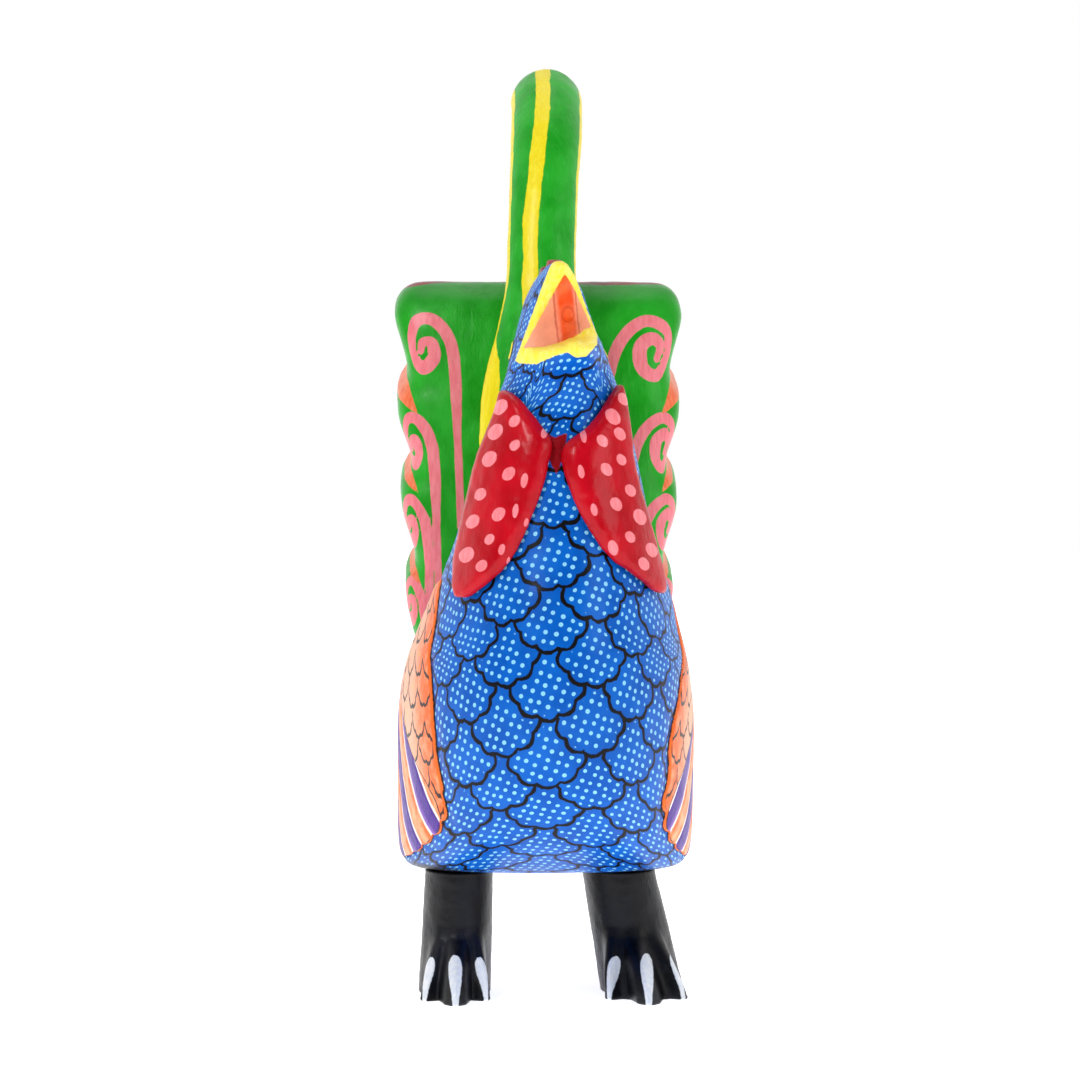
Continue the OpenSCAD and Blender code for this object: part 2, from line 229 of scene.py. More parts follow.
class V:
    """A number in a material: a node's output that can be added, multiplied and so on."""

    def __init__(self, paint, socket):
        self.paint, self.socket = paint, socket

    def __add__(self, o): return self.paint.math("ADD", self, o)
    def __sub__(self, o): return self.paint.math("SUBTRACT", self, o)
    def __mul__(self, o): return self.paint.math("MULTIPLY", self, o)
    def __truediv__(self, o): return self.paint.math("DIVIDE", self, o)
    def __radd__(self, o): return self.paint.math("ADD", o, self)
    def __rsub__(self, o): return self.paint.math("SUBTRACT", o, self)
    def __rmul__(self, o): return self.paint.math("MULTIPLY", o, self)
    def abs(self): return self.paint.math("ABSOLUTE", self)
    def floor(self): return self.paint.math("FLOOR", self)
    def round(self): return self.paint.math("ROUND", self)
    def fract(self): return self.paint.math("FRACT", self)
    def sin(self): return self.paint.math("SINE", self)
    def below(self, o): return self.paint.math("LESS_THAN", self, o)
    def above(self, o): return self.paint.math("GREATER_THAN", self, o)
    def min(self, o): return self.paint.math("MINIMUM", self, o)
    def max(self, o): return self.paint.math("MAXIMUM", self, o)

    def step(self, low, high):
        """0 under low, 1 over high, smooth between."""
        n = self.paint.add("ShaderNodeMapRange", interpolation_type="SMOOTHSTEP")
        self.paint.put(n.inputs[0], self)
        n.inputs[1].default_value, n.inputs[2].default_value = low, high
        n.inputs[3].default_value, n.inputs[4].default_value = 0.0, 1.0
        return V(self.paint, n.outputs[0])


class Paint:
    """A material under construction."""

    def __init__(self, name):
        self.mat = bpy.data.materials.new(name)
        self.mat.use_nodes = True
        self.tree = self.mat.node_tree
        self.tree.nodes.clear()
        self.out = self.add("ShaderNodeOutputMaterial")
        self.skin = self.add("ShaderNodeBsdfPrincipled")
        self.tree.links.new(self.skin.outputs[0], self.out.inputs[0])
        self.coord = self.add("ShaderNodeTexCoord").outputs["Object"]

    def add(self, kind, **settings):
        n = self.tree.nodes.new(kind)
        for k, v in settings.items():
            setattr(n, k, v)
        return n

    def put(self, socket, value):
        if isinstance(value, V):
            self.tree.links.new(value.socket, socket)
        elif isinstance(value, bpy.types.NodeSocket):
            self.tree.links.new(value, socket)
        else:
            socket.default_value = value

    def math(self, operation, *values):
        n = self.add("ShaderNodeMath", operation=operation)
        for socket, v in zip(n.inputs, values):
            self.put(socket, v)
        return V(self, n.outputs[0])

    def data(self, name):
        """The number stored at the points under this name."""
        return V(self, self.add("ShaderNodeAttribute", attribute_name=name).outputs["Fac"])

    def data3(self, name):
        vector = self.add("ShaderNodeAttribute", attribute_name=name).outputs["Vector"]
        return self.split(vector)

    def split(self, vector):
        n = self.add("ShaderNodeSeparateXYZ")
        self.put(n.inputs[0], vector)
        return [V(self, s) for s in n.outputs]

    def join(self, x, y, z=0.0):
        n = self.add("ShaderNodeCombineXYZ")
        for socket, v in zip(n.inputs, (x, y, z)):
            self.put(socket, v)
        return n.outputs[0]

    def noise(self, size, detail=2.0, rough=0.5, at=None, stretch=None):
        """Noise from 0 to 1 with features of a size in millimetres."""
        n = self.add("ShaderNodeTexNoise")
        n.inputs["Scale"].default_value = 1.0 / (size * (MM if at is None else 1.0))
        n.inputs["Detail"].default_value = detail
        n.inputs["Roughness"].default_value = rough
        source = self.coord if at is None else at
        if stretch is not None:
            m = self.add("ShaderNodeMapping")
            m.inputs["Scale"].default_value = stretch
            self.put(m.inputs[0], source)
            source = m.outputs[0]
        self.put(n.inputs["Vector"], source)
        return V(self, n.outputs["Fac"])

    def dice(self, x, y, z=0.0):
        """Three random numbers for a cell."""
        n = self.add("ShaderNodeTexWhiteNoise", noise_dimensions="3D")
        self.put(n.inputs["Vector"], self.join(x + 0.37, y + 0.37, z))
        c = self.add("ShaderNodeSeparateColor")
        self.put(c.inputs[0], n.outputs["Color"])
        return [V(self, s) for s in c.outputs]

    def mix(self, share, a, b):
        """Colour a where share is 0 and b where it is 1."""
        n = self.add("ShaderNodeMix", data_type="RGBA")
        self.put(n.inputs[0], share)
        for socket, c in ((n.inputs[6], a), (n.inputs[7], b)):
            self.put(socket, colour(c) if isinstance(c, str) else c)
        return n.outputs[2]

    def finish(self, base, roughness, height, depth=0.15, coat=0.25, coat_rough=0.22, gloss=0.09):
        """Links the looks up. Height is in units of depth, in millimetres."""
        s = self.skin.inputs
        self.put(s["Base Color"], base)
        self.put(s["Roughness"], roughness)
        s["Specular IOR Level"].default_value = gloss
        s["Coat Weight"].default_value = coat * 0.4
        s["Coat Roughness"].default_value = coat_rough
        bump = self.add("ShaderNodeBump")
        bump.inputs["Strength"].default_value = 1.0
        bump.inputs["Distance"].default_value = depth * MM
        self.put(bump.inputs["Height"], height)
        self.put(s["Normal"], bump.outputs[0])
        return self.mat

    def brush(self):
        """Strokes of a flat brush and the grain of the wood under the paint."""
        strokes = self.noise(1.1, 3.0, 0.6, stretch=(1.0, 1.0, 0.22))
        lumps = self.noise(9.0, 2.0)
        grit = self.noise(0.35, 2.0, 0.7)
        return strokes, lumps, grit


def scale_lines(p, u, v, pitch, row, radius, lobe, wobble, start=0.0, beat=3.5):
    """Distance to the drawn edge of overlapping scales, upper over lower, and the scale's dice."""
    h = (v - start) / (row / 2)
    first = h.floor()
    hidden, line = None, None
    for k in (-1, 0, 1, 2):
        m = first + k
        odd = (m * 0.5).fract() * 2.0
        i = ((u / pitch - odd) * 0.5).round() * 2.0 + odd
        r1, r2, r3 = p.dice(i, m)
        du = u - i * pitch - (r1 - 0.5) * wobble
        dv = v - start - m * (row / 2) - (r2 - 0.5) * wobble
        turn = p.math("ARCTAN2", dv, du)
        rim = radius * (r3 * 0.08 + 0.96)
        rim = rim + lobe * ((turn * beat + r1 * 3.0).sin().abs() - 0.55)
        f = p.math("SQRT", du * du + dv * dv) - rim
        seen = f.abs() if hidden is None else f.abs() + hidden * 50.0
        line = seen if line is None else line.min(seen)
        now = f.below(0.0)
        hidden = now if hidden is None else hidden.max(now)
    return line


# ---------------------------------------------------------------- body: shape

body = dense("body_carving", "body_painted", 0.8)
low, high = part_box("body_carving")
FRONT, BELLY = low.y / MM, low.z / MM
TOP = (high.z - low.z) / MM


def body_place(p):
    """Right, back and up from the body's own datum."""
    return p[:, 0], p[:, 1] - FRONT, p[:, 2] - BELLY


peg_low, peg_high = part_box("sickle_peg")
seat_y = (peg_low.y + peg_high.y) / 2 / MM - FRONT
p = points_of(body)
x, back, up = body_place(p)
in_head = ease((up - 118) / 14)
relax(body, (0.5 - 0.38 * in_head) * (0.3 + 0.7 * ease((up - 4) / 6)), 34)
p = points_of(body)
x, back, up = body_place(p)
seat = ease((9.5 - np.hypot(x, back - seat_y)) / 1.5) * (up > 50)
step = ease((back - 119) / 2) * ease((up - 56) / 1.5) * ease((62 - up) / 1.5)
hold_to(body, "body_carving", np.maximum(seat, step))


def unroll():
    """How far every point is round the body from the front line, and down it, on its skin."""
    p = points_of(body)
    x, back, up = body_place(p)
    levels = np.linspace(0.6, TOP - 0.8, 110)
    mid = []
    for h in levels:
        row = np.abs(up - h) < 1.3
        core = row & (np.abs(x - (x[row].min() + x[row].max()) / 2) < 4)
        mid.append([(x[row].min() + x[row].max()) / 2, (back[core].min() + back[core].max()) / 2])
    mid = np.array(mid)
    kernel = np.ones(7) / 7
    for k in range(2):
        mid[:, k] = np.convolve(np.pad(mid[:, k], 3, "edge"), kernel, "valid")
    tree = tree_of("body_carving")
    turns = np.radians(np.arange(-180, 181, 3.0))
    heading = np.radians(-90 + HEAD_TURN * ease((levels - 110) / 26))
    hit = np.zeros((len(levels), len(turns), 3))
    for i, h in enumerate(levels):
        for j, t in enumerate(turns):
            d = Vector((math.cos(heading[i] + t), math.sin(heading[i] + t), 0))
            far = Vector((mid[i, 0], mid[i, 1] + FRONT, h + BELLY)) + d * 200
            got = tree.ray_cast(far, -d)[0]
            hit[i, j] = got if got is not None else (mid[i, 0], mid[i, 1] + FRONT, h + BELLY)
    # over the throat the beak juts out, so the paint follows a plain cone there
    neck = int(np.argmin(np.abs(levels - NECK_UP)))
    wide = np.ptp(hit[:, :, 0], axis=1)
    core = hit[neck, :, :2].mean(axis=0)
    for i in range(neck + 1, len(levels)):
        share = max(0.5, wide[i] / wide[neck])
        hit[i, :, :2] = core + (hit[neck, :, :2] - core) * share
        hit[i, :, 2] = levels[i] + BELLY
    size = 1 - 0.28 * ease((levels - 84) / 44)
    zero = len(turns) // 2
    side = np.linalg.norm(np.diff(hit, axis=1), axis=2)
    u = np.zeros(hit.shape[:2])
    u[:, zero + 1:] = np.cumsum(side[:, zero:], axis=1)
    u[:, :zero] = -np.cumsum(side[:, zero - 1::-1], axis=1)[:, ::-1]
    u /= size[:, None]
    down = np.linalg.norm(np.diff(hit, axis=0), axis=2) / ((size[1:] + size[:-1]) / 2)[:, None]
    v = np.vstack([np.zeros(len(turns)), np.cumsum(down, axis=0)])
    middle = np.argmin(np.abs(levels - 48))
    v = v[middle] - v
    fi = np.clip((up - levels[0]) / (levels[1] - levels[0]), 0, len(levels) - 1.001)
    i = fi.astype(int)
    fi -= i
    cx = mid[i, 0] * (1 - fi) + mid[i + 1, 0] * fi
    cy = mid[i, 1] * (1 - fi) + mid[i + 1, 1] * fi
    hd = heading[i] * (1 - fi) + heading[i + 1] * fi
    t = np.arctan2(back - cy, x - cx) - hd
    t = (t + math.pi) % (2 * math.pi) - math.pi
    fj = np.clip((t - turns[0]) / (turns[1] - turns[0]), 0, len(turns) - 1.001)
    j = fj.astype(int)
    fj -= j

    def at(table):
        return ((table[i, j] * (1 - fj) + table[i, j + 1] * fj) * (1 - fi)
                + (table[i + 1, j] * (1 - fj) + table[i + 1, j + 1] * fj) * fi)

    def arc_at(heights, x_at, side):
        """Arc from the front line to where the front of the skin stands x_at off the middle."""
        out = []
        for h, xa in zip(heights, x_at):
            row = int(round((h - levels[0]) / (levels[1] - levels[0])))
            half = slice(zero, zero + 36) if side > 0 else slice(zero, zero - 36, -1)
            out.append(np.interp(abs(xa), np.maximum.accumulate(side * hit[row, half, 0]),
                                 np.abs(u[row, half])))
        return np.array(out)
    return at(u), at(v), t, arc_at


u, v, turn, arc_at = unroll()

# Wing: drawn on the unrolled flank, with feathers that sweep down and curve forward.
# Rows of the front border: height over the belly, and distance from the middle plane
BORDER = {-1: [(-1, 41.2), (3, 39.0), (6, 36.0), (9, 33.8), (12, 31.0), (15, 29.2), (18, 28.4),
               (25, 28.9), (34, 30.8), (43, 31.5), (57, 32.3), (66, 33.0), (75, 32.2), (88, 27)],
          1: [(-1, 41.2), (2, 39.6), (5, 36.8), (9.7, 33.0), (13, 31.4), (16, 30.6), (21.4, 29.8),
              (30, 31.2), (36, 30.9), (43, 32.2), (47, 33.6), (60, 36.6), (75, 33.5), (88, 27)]}
REST = [(66, 80), (80, 79), (100, 75), (122, 66), (143, 56), (156, 44), (150, 30), (128, 14),
        (104, 4), (84, -3), (40, -3)]
SWEEP, SWEEP_UP, FEATHER = 95.0, 34.0, 11.0

n = normals_of(body)
arc = np.abs(u)
border = np.zeros(len(p))
for side, rows in BORDER.items():
    at_h = np.linspace(1, 90, 60)
    at_arc = arc_at(at_h, np.interp(at_h, *zip(*rows)), side)
    shoulder = np.searchsorted(at_h, SHOULDER_UP)
    over = at_h[shoulder:] - at_h[shoulder]
    at_arc[shoulder:] = at_arc[shoulder] - 0.25 * over + 0.03 * over ** 2
    at_arc = np.convolve(np.pad(at_arc, 1, "edge"), np.ones(3) / 3, "valid")
    mine = x * side > 0
    border[mine] = np.interp(up[mine], at_h, at_arc)
rim_d = arc - border
flank = np.stack([arc, up], axis=1)
shape = np.vstack([smooth_path([(30, 84)] + REST), [(0, -3), (0, 84)]])
strip = (arc - SWEEP * (1 - np.exp(-up / SWEEP_UP))) / FEATHER + 40
nib = 1.2 - 9.0 * (strip - np.floor(strip) - 0.5) ** 2
wing = np.minimum(inside(flank, shape[::3]), rim_d * 0.96)
wing = wing + nib * ease((30 - up) / 10) * ease((8 - wing) / 4)
wing = np.where(np.abs(x) > 8, wing, -20.0)
cap = 42 * ease((up - 13) / 44)

# Carving: the wing stands proud of a shallow trench, its feathers have cut lines between them
trench = -0.75 * np.exp(-(np.minimum(wing, 0) / 3.2) ** 2) * (1 - ease((wing + 0.3) / 1.1))
ribs = -0.30 * np.exp(-((strip - np.round(strip)) / 0.10) ** 2) * ease((wing - 0.8) / 1.5)
ribs *= ease((rim_d - cap) / 3)
tool = 0.10 * lump_noise(p, 26, 5) + 0.05 * lump_noise(p, 7, 6)

# Beak: outline of the painted rim and of the open mouth, on the front of the head
RIM = [(1.1, 165.0), (-1.6, 160.5), (-9.9, 137.6), (-8.8, 136.7), (-4.6, 136.2), (-1.0, 137.6),
       (2.6, 138.7), (5.2, 137.4), (7.6, 137.6), (10.6, 140.8), (11.5, 144.0), (8.6, 151.0),
       (4.6, 160.5)]
MOUTH = [(2.4, 159.4), (-0.4, 154.4), (-8.0, 140.4), (-2.6, 140.7), (1.6, 142.0), (5.0, 143.2),
         (7.6, 145.0), (9.9, 146.2), (7.4, 151.4), (5.0, 156.0)]
# Throat between the two wattles, painted like them
BETWEEN = [(-3.2, 119.2), (0.1, 117.2), (3.4, 118.6), (2.4, 112.6), (0.5, 107.6), (-1.4, 111.6)]
front_view = np.stack([x, up], axis=1)
ahead = (n[:, 1] < 0.1) & (back < 32) & (up > 126)
lips = np.where(ahead, inside(front_view, RIM), FAR_OUT)
gape = np.where(ahead, inside(front_view, MOUTH), FAR_OUT)
on_side = [np.array([s * 9.4 + 1.2, 28.0, 148.5]) for s in (-1, 1)]
place = np.stack([x, back, up], axis=1)
sides = [place[(up > 140) & (up < 150) & (x * s > 2) & (np.abs(back - 31) < 3)] for s in (-1, 1)]
eyes = [c[np.argmax(np.abs(c[:, 0]))] if len(c) else o for c, o in zip(sides, on_side)]
iris = np.minimum(*[np.linalg.norm(place - c, axis=1) for c in eyes])
bulge = 0.55 * ease((3.4 - iris) / 1.6)
bead = 0.30 * ease((lips + 0.2) / 0.8) * ease((-gape + 0.1) / 0.6)
tongue_band = 2.9 - np.abs(x - TONGUE_X - 0.12 * (TONGUE_UP - up))
tongue = 1.1 * ease(tongue_band / 0.8) * ease((gape - 0.3) / 0.8)
tongue += 0.9 * ease((1.6 - np.hypot((x - 3.2) / 1.3, (up - 149.8) / 2.0)) / 0.9)
for at_x, at_up, wide in ((4.7, 141.2, 2.0), (8.9, 144.2, 1.7)):
    tongue += 0.7 * ease((1.3 - np.hypot(x - at_x, (up - at_up) * 1.2) / wide) / 0.8)
tongue = np.where(ahead & (lips > -1), tongue, 0)
carved = trench + ribs + tool * (1 - 0.6 * in_head) + bulge + bead + tongue
set_points(body, p + n * carved[:, None] * (1 - np.maximum(seat, step))[:, None])

drops = np.minimum(np.hypot(x - 4.7, (up - 141.2) * 1.2) - 2.0, np.hypot(x - 8.9, up - 144.2) - 1.6)
gape = np.minimum(gape, drops)
leg_axes = [((a.x + b.x) / 2 / MM, (a.y + b.y) / 2 / MM - FRONT)
            for a, b in (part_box("leg_dowel_left"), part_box("leg_dowel_right"))]
smear = np.minimum(*[np.hypot((x - a) / 12.0, (back - b) / 18.0) for a, b in leg_axes])
paint_data(
    body,
    skin=np.stack([u, v, up], axis=1),
    wing=np.stack([strip, arc, wing], axis=1),
    covert=np.stack([rim_d, up, cap], axis=1),
    face=np.stack([lips, gape, iris], axis=1),
    foot=np.stack([smear, up, seat], axis=1),
    tongue=np.stack([tongue_band,
                     np.hypot((x - 3.2) / 1.5, (up - 149.8) / 2.2),
                     np.where(n[:, 1] < 0, inside(front_view, BETWEEN), FAR_OUT)], axis=1),
)


# ---------------------------------------------------------------- body: paint

def body_paint():
    p = Paint("painted_body")
    u, v, up = p.data3("skin")
    strokes, lumps, grit = p.brush()
    wander = p.noise(4.0, 2.0) - 0.5
    wander2 = p.noise(1.6, 2.0) - 0.5
    uu = u + 2.3 + wander * 1.1
    vv = v + wander2 * 1.0
    line = scale_lines(p, uu, vv, 12.4, 17.2, 9.9, 1.05, 1.3, start=-6.5, beat=5.0)
    width = 0.22 + p.noise(5.0, 2.0) * 0.62
    ink = 1.0 - (line - width).step(-0.10, 0.14)

    # dots in slanted rows, kept off the lines
    spots = p.add("ShaderNodeTexVoronoi", voronoi_dimensions="2D", feature="F1")
    spots.inputs["Scale"].default_value = 1.0
    spots.inputs["Randomness"].default_value = 0.24
    a, b, pitch = math.cos(0.36), math.sin(0.36), 2.55
    p.put(spots.inputs["Vector"], p.join((u * a + v * b) / pitch, (v * a - u * b) / pitch))
    d = V(p, spots.outputs["Distance"]) * pitch
    room = (line - width).step(0.25, 0.95)
    size = (0.46 + p.noise(2.6, 1.0) * 0.24) * room
    dot = 1.0 - (d - size).step(-0.12, 0.10)
    dot = dot * room.above(0.05)
    core = 1.0 - d.step(0.10, 0.26)

    blue = p.mix(lumps.step(0.3, 0.7), "0054B4", "0563C6")
    blue = p.mix(strokes.step(0.55, 0.85) * 0.25, blue, "2377D2")
    c = p.mix(dot, blue, "8FD6F6")
    c = p.mix(dot * core * 0.5, c, "55B0E8")
    c = p.mix(ink, c, "0D0C0E")

    # belly face: plain blue, with black rubbed round the legs
    under = 1.0 - up.step(0.5, 1.4)
    c = p.mix(under, c, "1660C4")

    # wing
    strip, _, wing = p.data3("wing")
    d_rim, height, cap = p.data3("covert")
    tint = p.noise(3.0, 2.0)
    f = strip.fract()
    odd = (strip.floor() * 0.5).fract().above(0.25)
    orange = p.mix(tint.step(0.35, 0.7), "F36F2E", "F9A46E")
    orange = p.mix((f - 0.5).abs().step(0.30, 0.12) * 0.35, orange, "FFC79C")
    # painted highlight: each violet feather lightens towards one edge, standing in for light caught
    # along it
    violet = p.mix(f.step(0.55, 0.95), "4B2390", "9B6BC8")
    violet = p.mix(tint.step(0.5, 0.9) * 0.5, violet, "6A35AE")
    long = p.mix(odd, violet, orange)
    # painted highlight: a pale line along every feather's edge, standing in for light caught on the
    # carved edges
    gap = 0.5 - (f - 0.5).abs()
    long = p.mix(1.0 - gap.step(0.045, 0.085), long, "FBF1EA")
    cs, cd = d_rim + wander * 1.2, wander2 * 1.4 - height
    cov = scale_lines(p, cs, cd * 0.68, 5.8, 11.0, 6.4, 0.4, 1.2, beat=5.0)
    peach = p.mix(d_rim.step(4.0, 20.0), "F26B2A", "F8B595")
    peach = p.mix(tint.step(0.4, 0.75) * 0.5, peach, "F9B48C")
    dab = cov.step(3.0, 4.6)
    peach = p.mix(dab * 0.85, peach, "FFCB3A")
    peach = p.mix(1.0 - cov.step(0.22, 0.52), peach, "2A1C1A")
    feather = p.mix((d_rim - cap + wander * 2.0).step(-0.3, 0.3), peach, long)
    feather = p.mix(1.0 - (d_rim - cap + wander * 2.0).abs().step(0.25, 0.45), feather, "2A1A17")
    feather = p.mix(1.0 - wing.step(0.7, 1.1), feather, "F3702D")
    feather = p.mix(1.0 - (wing + wander2 * 0.5).step(-0.05, 0.28), feather, "14110F")
    on_wing = wing.step(-0.55, -0.30)
    c = p.mix(on_wing, c, feather)

    # face
    lips, gape, iris = p.data3("face")
    yellow = p.mix(strokes.step(0.3, 0.8), "F6E13A", "FBEE80")
    flesh = p.mix(p.noise(5.0, 2.0).step(0.35, 0.7), "E84A18", "F06C3C")
    tongue, blob, between = p.data3("tongue")
    flesh = p.mix(1.0 - (tongue + wander * 0.6).step(-0.2, 1.4), flesh, "F8A284")
    # painted shade: dark red lines along both edges of the tongue and a ring round the lump at its
    # top, where the creases round the raised tongue are shaded
    flesh = p.mix((1.0 - (tongue + wander2 * 0.5).abs().step(0.10, 0.40)) * 0.6, flesh, "B93A1B")
    flesh = p.mix((1.0 - (blob - 1.0 + wander2 * 0.3).abs().step(0.04, 0.2)) * 0.5, flesh, "B93A1B")
    c = p.mix((between + wander2 * 0.8).step(-0.15, 0.20), c, "8E0815")
    c = p.mix((lips + wander2 * 0.6).step(-0.10, 0.15), c, yellow)
    c = p.mix((gape + wander2 * 0.5).step(-0.10, 0.15), c, flesh)
    c = p.mix(1.0 - iris.step(3.0, 3.2), c, "14110F")
    c = p.mix(1.0 - iris.step(2.4, 2.6), c, "F7E32A")
    c = p.mix(1.0 - iris.step(1.45, 1.6), c, "0C0B0B")

    smear, height, seat = p.data3("foot")
    near_leg = 1.0 - (smear + (grit - 0.5) * 0.9 + wander * 0.3).step(1.02, 1.28)
    rub = near_leg * (1.0 - height.step(1.8, 4.6))
    c = p.mix(rub, c, "17171A")
    wood = p.mix(p.noise(0.7, 3.0, 0.6, stretch=(1, 1, 0.15)).step(0.3, 0.75), "D9B98C", "B98F5E")
    c = p.mix(seat.step(0.55, 0.75), c, wood)

    rough = 0.36 + (lumps - 0.5) * 0.12 + (grit - 0.5) * 0.10 + ink * 0.06
    height = ink * 0.55 + dot * 0.4 + strokes * 0.6 + grit * 0.3 + lumps * 0.6
    return p.finish(c, rough, height, depth=0.11, coat=0.2, coat_rough=0.20)


body.data.materials.append(body_paint())
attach(body, "figure")
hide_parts("body_carving")


# ---------------------------------------------------------------- tail fan

fan = dense("tail_fan", "tail_fan_painted", 0.8)
relax(fan, 0.5, 12)
flow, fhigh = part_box("tail_fan")
FAN_FOOT, FAN_TOP = flow.z / MM, (fhigh.z - flow.z) / MM
p = points_of(fan)
hold_to(fan, "tail_fan", ease((FAN_FOOT + 1.5 - p[:, 2]) / 1.0))
p, n = points_of(fan), normals_of(fan)
x, up = p[:, 0], p[:, 2] - FAN_FOOT
deep = p[:, 1] - flow.y / MM
level = np.clip((up / 2).astype(int), 0, 60)
face_y = np.array([deep[(level == k) & (np.abs(x) < 34)].min(initial=99) for k in range(61)])
face_y = np.interp(up, np.arange(61) * 2 + 1, np.where(face_y > 90, 0, face_y))
wrapped = np.sign(x) * (np.abs(x) + 0.85 * np.maximum(0, deep - face_y - 2.5)
                        * ease((np.abs(x) - 30) / 6))
sheet = np.stack([wrapped, up], axis=1)

# Curls: a stem that rises, bends over and rolls up, on the left and on the right
CURL_L = [(1.6, -52), (0.6, -26), (-0.1, -8), (-1.6, 2.2), (-6.2, 8.4), (-11.4, 8.2), (-13.6, 2.0),
          (-12.4, -3.4), (-9.2, -5.4), (-6.4, -2.4), (-7.0, 1.6), (-9.6, 2.0), (-10.2, -0.6)]
CURL_R = [(-3.6, -46), (-2.9, -22), (-1.6, -6), (2.2, 3.6), (9.0, 8.6), (15.6, 5.6), (16.4, -1.6),
          (12.2, -7.4), (7.8, -5.4), (7.2, 0.6), (10.6, 3.4), (13.2, 1.2), (12.2, -2.6)]
CURLS = [(CURL_L, -24.6, 87.6, 1.0, 1.0), (CURL_L, -30.6, 59.2, 0.86, 0.92),
         (CURL_L, -32.6, 36.0, 0.80, 0.84), (CURL_L, -33.4, 13.0, 0.76, 0.8),
         (CURL_R, 22.2, 87.4, 1.0, 1.0), (CURL_R, 28.2, 59.8, 0.82, 0.90),
         (CURL_R, 30.4, 36.6, 0.76, 0.84), (CURL_R, 31.6, 12.6, 0.74, 0.8)]
curl = np.full(len(p), FAR_OUT)
for shape, cx, cz, size, tall in CURLS:
    path = smooth_path([(cx + a * size, cz + b * tall) for a, b in shape], 8)
    near = (np.abs(sheet[:, 0] - cx) < 30) & (np.abs(sheet[:, 1] - cz) < 60)
    d, t = path_distance(sheet[near], path)
    half = (1.15 + 0.65 * ease((t - 0.25) / 0.2) + 0.35 * np.exp(-((t - 0.86) / 0.06) ** 2)
            - 0.75 * ease((t - 0.93) / 0.07)) * (0.6 + 0.4 * size)
    curl[near] = np.maximum(curl[near], half - d)
curl = np.where(n[:, 1] > 0.45, -9.0, curl)

# Notches between the lobes
NOTCHES = [(22.0, 36.2, 0.5), (50.0, 37.4, 0.65), (76.0, 38.5, 1.0)]
slant = up - 0.42 * np.maximum(0, deep - face_y)
notch = np.full(len(p), FAR_OUT)
for h, edge, size in NOTCHES:
    q = np.stack([np.abs(x) - edge, slant - h], axis=1)
    wedge = [(0.6, 0.9), (-3.2 * size, -8.8 * size), (2.0, -6.2 * size), (9, -4.8 * size), (9, 1.2)]
    notch = np.maximum(notch, inside(q, wedge))
notch = np.where(n[:, 1] < 0.5, notch, FAR_OUT)
rear = deep - 31.0 - 2.5 * np.sin(up / 6.0)
shown = np.exp(-((x + 37) / 7) ** 2) + np.exp(-((x - 20) / 12) ** 2)
crest = (up - FAN_TOP + 3.4 + 0.12 * (deep - 25)) * ease((deep - 16) / 4) * 4 - 1
rear = np.maximum(rear, crest - 6 * (1 - shown) * (1 - ease((deep - 24) / 5)))
tool = 0.16 * lump_noise(p, 24, 11) + 0.06 * lump_noise(p, 6, 12)
cut = -0.35 * np.exp(-((((x + 3) / 12.5) - np.round((x + 3) / 12.5)) / 0.09) ** 2)
cut *= ease((n[:, 1] - 0.3) / 0.3)
set_points(fan, p + n * (tool + cut)[:, None] * ease((up - 1.5) / 2)[:, None])
paint_data(fan, sheet=np.stack([wrapped, up, slant], axis=1),
           marks=np.stack([curl, notch, rear], axis=1),
           rearface=np.stack([(x + 3) / 12.5, up, n[:, 1]], axis=1))


def fan_paint():
    p = Paint("painted_fan")
    strokes, lumps, grit = p.brush()
    _, up, _ = p.data3("sheet")
    curl, notch, rear = p.data3("marks")
    lane, height, facing = p.data3("rearface")
    wander = p.noise(3.0, 2.0) - 0.5
    green = p.mix(lumps.step(0.3, 0.72), "0C980E", "26AE28")
    green = p.mix(strokes.step(0.5, 0.85) * 0.4, green, "45BB40")
    # painted shade: the green darkens towards the top of the fan, where its top rolls over
    green = p.mix(up.step(96.0, 107.5) * 0.6, green, "0A7A18")
    pink = p.mix(strokes.step(0.25, 0.8), "EC7480", "F68E97")
    orange = p.mix(strokes.step(0.3, 0.8), "F0693A", "F9936A")
    c = p.mix((curl + wander * 0.35).step(-0.12, 0.12), green, pink)
    c = p.mix((notch + wander * 0.5).step(-0.12, 0.15), c, orange)
    # back: upright feathers with pale edges
    f = lane.fract()
    which = (lane.floor() / 3.0).fract()
    gap = 0.5 - (f - 0.5).abs()
    red = p.mix(lumps.step(0.3, 0.7), "6E1216", "8E1B1E")
    bands = p.mix(which.above(0.2), "C4342A", "1F9A2E")
    bands = p.mix(which.above(0.5), bands, "F0B02A")
    bands = p.mix(1.0 - gap.step(0.055, 0.09), bands, "FBF3DC")
    barb = ((height * 0.9 + (f - 0.5).abs() * 7.0).sin()).step(0.55, 0.9)
    bands = p.mix(barb * 0.45 * gap.step(0.12, 0.2), bands, "FFF1C4")
    rear_c = p.mix(facing.step(0.55, 0.75), red, bands)
    c = p.mix((rear + wander * 1.2).step(-0.2, 0.2), c, rear_c)
    rough = 0.38 + (lumps - 0.5) * 0.14 + (grit - 0.5) * 0.1
    relief = strokes * 0.9 + lumps * 1.4 + grit * 0.5 + curl.step(-0.1, 0.2) * 0.3
    return p.finish(c, rough - 0.06, relief, depth=0.17, coat=0.3, coat_rough=0.2, gloss=0.2)


fan.data.materials.append(fan_paint())
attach(fan, "figure")
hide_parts("tail_fan")


# ---------------------------------------------------------------- sickle feather

